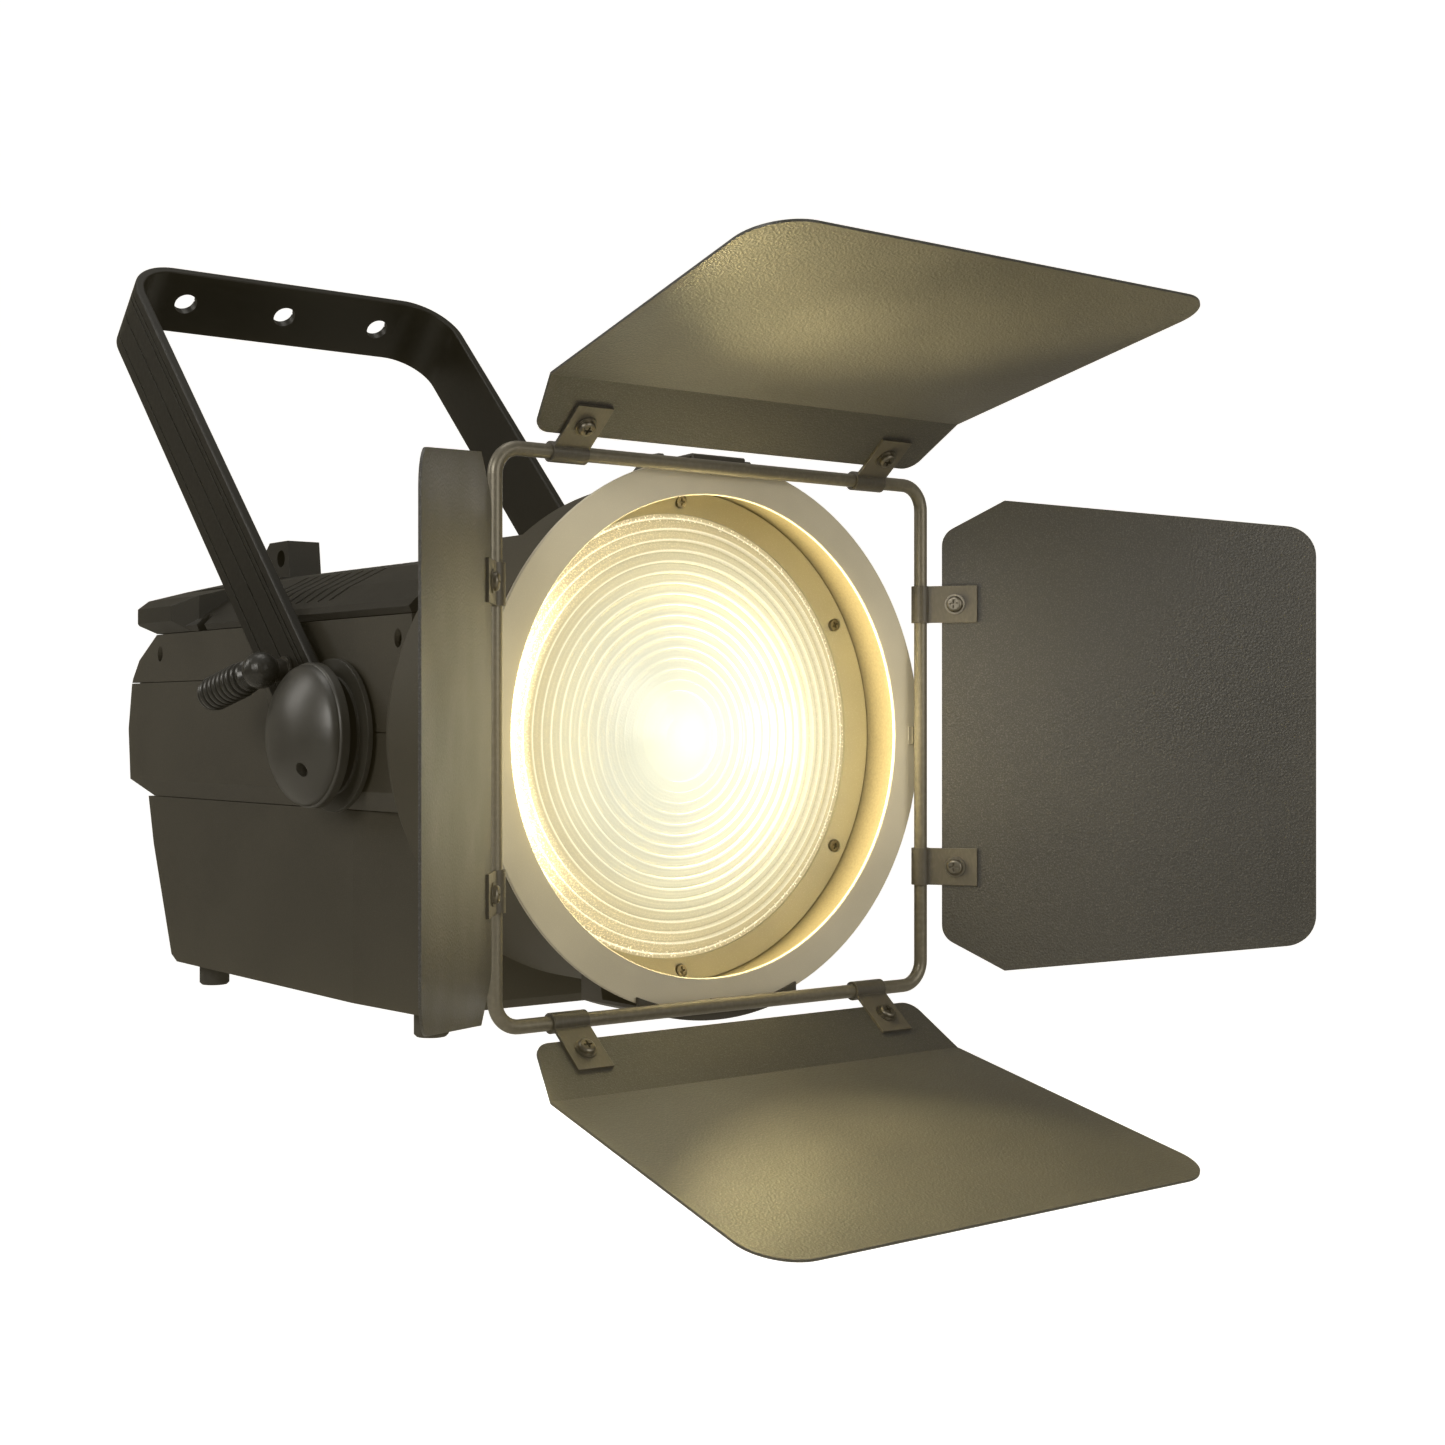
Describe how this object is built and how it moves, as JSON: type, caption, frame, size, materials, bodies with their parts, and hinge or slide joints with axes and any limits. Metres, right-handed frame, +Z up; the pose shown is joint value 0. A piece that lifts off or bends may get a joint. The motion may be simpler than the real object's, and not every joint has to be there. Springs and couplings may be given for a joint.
{
  "type": "fresnel spotlight",
  "caption": "Studio LED fresnel spotlight: lamp head with stepped round lens in a leaning flat yoke, with a turning barn door of hinged leaves on a square wire frame.",
  "frame": {"origin": "centre of the yoke crossbar's middle mounting hole, at half the strap's thickness", "axes": "+Z up with the head level, beam along -Y, +X to the right seen from the front; the yoke leans back 45 degrees, so its holes point up and back"},
  "size_m": [0.4452, 0.6141, 0.4371],
  "materials": {
    "yoke_black": "satin black anodised extrusion",
    "bushing": "plain turned",
    "cover_plastic": "matt black moulded nylon",
    "bright_steel": "bright zinc",
    "screw_black": "black oxide",
    "chassis_steel": "grey powder coat",
    "casing_black": "fine-textured black powder coat on die-cast and sheet aluminium",
    "bracket_black": "black powder coat",
    "lens_glass": "stepped borosilicate glass, warm white lit",
    "display": "smoked acrylic",
    "circuit": "solder-masked board",
    "socket_black": "black nylon",
    "heat_sink_aluminium": "extruded",
    "supply_steel": "galvanised cage",
    "rubber_foot": "matt",
    "leaf_black": "fine-speckled black powder coat on thin sheet",
    "ring_black": "satin dark grey coat"
  },
  "bodies": {
    "yoke": {"yoke_bracket": "yoke_black", "yoke_bushes": "bushing", "pivot_plates": "cover_plastic", "pivot_caps": "cover_plastic", "pivot_cap_screws": "screw_black", "tilt_lock_shoe": "chassis_steel"},
    "head": {"base_casing": "casing_black", "casing_screws": "screw_black", "chassis": "chassis_steel", "control_board": "circuit", "display_window": "display", "fan_frame": "socket_black", "feet": "rubber_foot", "fresnel_lens": "lens_glass", "front_drum": "casing_black", "fuse_holder": "socket_black", "guide_rods": "bright_steel", "latch_bracket": "bracket_black", "latch_pin": "bright_steel", "latch_spring": "bright_steel", "lens_retainer": "bracket_black", "lens_retainer_screws": "screw_black", "lower_casing": "casing_black", "lower_holder": "bracket_black", "power_inlet": "socket_black", "power_supply": "supply_steel", "rear_panel": "casing_black", "signal_input": "socket_black", "signal_output": "socket_black", "tilt_bolts": "bright_steel", "tilt_discs": "chassis_steel", "top_cover": "casing_black", "upper_casing": "casing_black", "zoom_motor": "chassis_steel"},
    "lock_lever": {"lock_lever_stud": "bright_steel", "lock_lever_grip": "cover_plastic"},
    "latch": {"accessory_latch": "bracket_black"},
    "fan": {"fan_rotor": "socket_black"},
    "menu_key": {"menu_button": "cover_plastic"},
    "up_key": {"up_button": "cover_plastic"},
    "down_key": {"down_button": "cover_plastic"},
    "enter_key": {"enter_button": "cover_plastic"},
    "zoom": {"zoom_carriage": "chassis_steel", "led_module": "circuit", "heat_sink": "heat_sink_aluminium"},
    "zoom_screw": {"lead_screw": "bright_steel"},
    "barn_doors": {"barn_door_ring": "ring_black", "barn_door_frame": "ring_black"},
    "top_door": {"top_leaf": "leaf_black", "top_leaf_clips": "ring_black", "top_leaf_screws": "screw_black"},
    "bottom_door": {"bottom_leaf": "leaf_black", "bottom_leaf_clips": "ring_black", "bottom_leaf_screws": "screw_black"},
    "left_door": {"left_leaf": "leaf_black", "left_leaf_clips": "ring_black", "left_leaf_screws": "screw_black"},
    "right_door": {"right_leaf": "leaf_black", "right_leaf_clips": "ring_black", "right_leaf_screws": "screw_black"}
  },
  "joints": [
    {"name": "head_tilt", "type": "hinge", "parent": "yoke", "child": "head", "pos_m": [0, -0.24784, -0.24784], "axis": [1, 0, 0], "range_deg": [-50, 135]},
    {"name": "tilt_lock", "type": "hinge", "parent": "yoke", "child": "lock_lever", "pos_m": [-0.103, -0.21708, -0.21708], "axis": [1, 0, 0], "range_deg": [-45, 130]},
    {"name": "barn_door_turn", "type": "hinge", "parent": "head", "child": "barn_doors", "pos_m": [0, -0.42584, -0.24784], "axis": [0, 1, 0], "continuous": true},
    {"name": "top_door_hinge", "type": "hinge", "parent": "barn_doors", "child": "top_door", "pos_m": [0, -0.42584, -0.13284], "axis": [-1, 0, 0], "range_deg": [-56, 76]},
    {"name": "bottom_door_hinge", "type": "hinge", "parent": "barn_doors", "child": "bottom_door", "pos_m": [0, -0.42584, -0.36284], "axis": [1, 0, 0], "range_deg": [-56, 76]},
    {"name": "left_door_hinge", "type": "hinge", "parent": "barn_doors", "child": "left_door", "pos_m": [-0.115, -0.42584, -0.24784], "axis": [0, 0, 1], "range_deg": [-72, 76]},
    {"name": "right_door_hinge", "type": "hinge", "parent": "barn_doors", "child": "right_door", "pos_m": [0.115, -0.42584, -0.24784], "axis": [0, 0, -1], "range_deg": [-75, 73]},
    {"name": "latch_hinge", "type": "hinge", "parent": "head", "child": "latch", "pos_m": [0, -0.40684, -0.13004], "axis": [-1, 0, 0], "range_deg": [0, 80], "stiffness_Nm_per_rad": 0.02, "springref_deg": -17.19},
    {"name": "fan_spin", "type": "hinge", "parent": "head", "child": "fan", "pos_m": [-0.046, -0.01284, -0.24934], "axis": [0, 1, 0], "continuous": true},
    {"name": "zoom_slide", "type": "slide", "parent": "head", "child": "zoom", "axis": [0, 1, 0], "range_m": [-0.055, 0.05]},
    {"name": "zoom_screw_spin", "type": "hinge", "parent": "head", "child": "zoom_screw", "pos_m": [0.066, -0.22584, -0.25584], "axis": [0, 1, 0], "range_deg": [-1000, 1000]},
    {"name": "menu_press", "type": "slide", "parent": "head", "child": "menu_key", "axis": [0, -0.9959, 0.0902], "range_m": [0, 0.0012], "stiffness_N_per_m": 350},
    {"name": "up_press", "type": "slide", "parent": "head", "child": "up_key", "axis": [0, -0.9959, 0.0902], "range_m": [0, 0.0012], "stiffness_N_per_m": 350},
    {"name": "down_press", "type": "slide", "parent": "head", "child": "down_key", "axis": [0, -0.9959, 0.0902], "range_m": [0, 0.0012], "stiffness_N_per_m": 350},
    {"name": "enter_press", "type": "slide", "parent": "head", "child": "enter_key", "axis": [0, -0.9959, 0.0902], "range_m": [0, 0.0012], "stiffness_N_per_m": 350}
  ],
  "couplings": [
    {"joint": "zoom_screw_spin", "follows": "zoom_slide", "rad_per_m": 314.16}
  ]
}
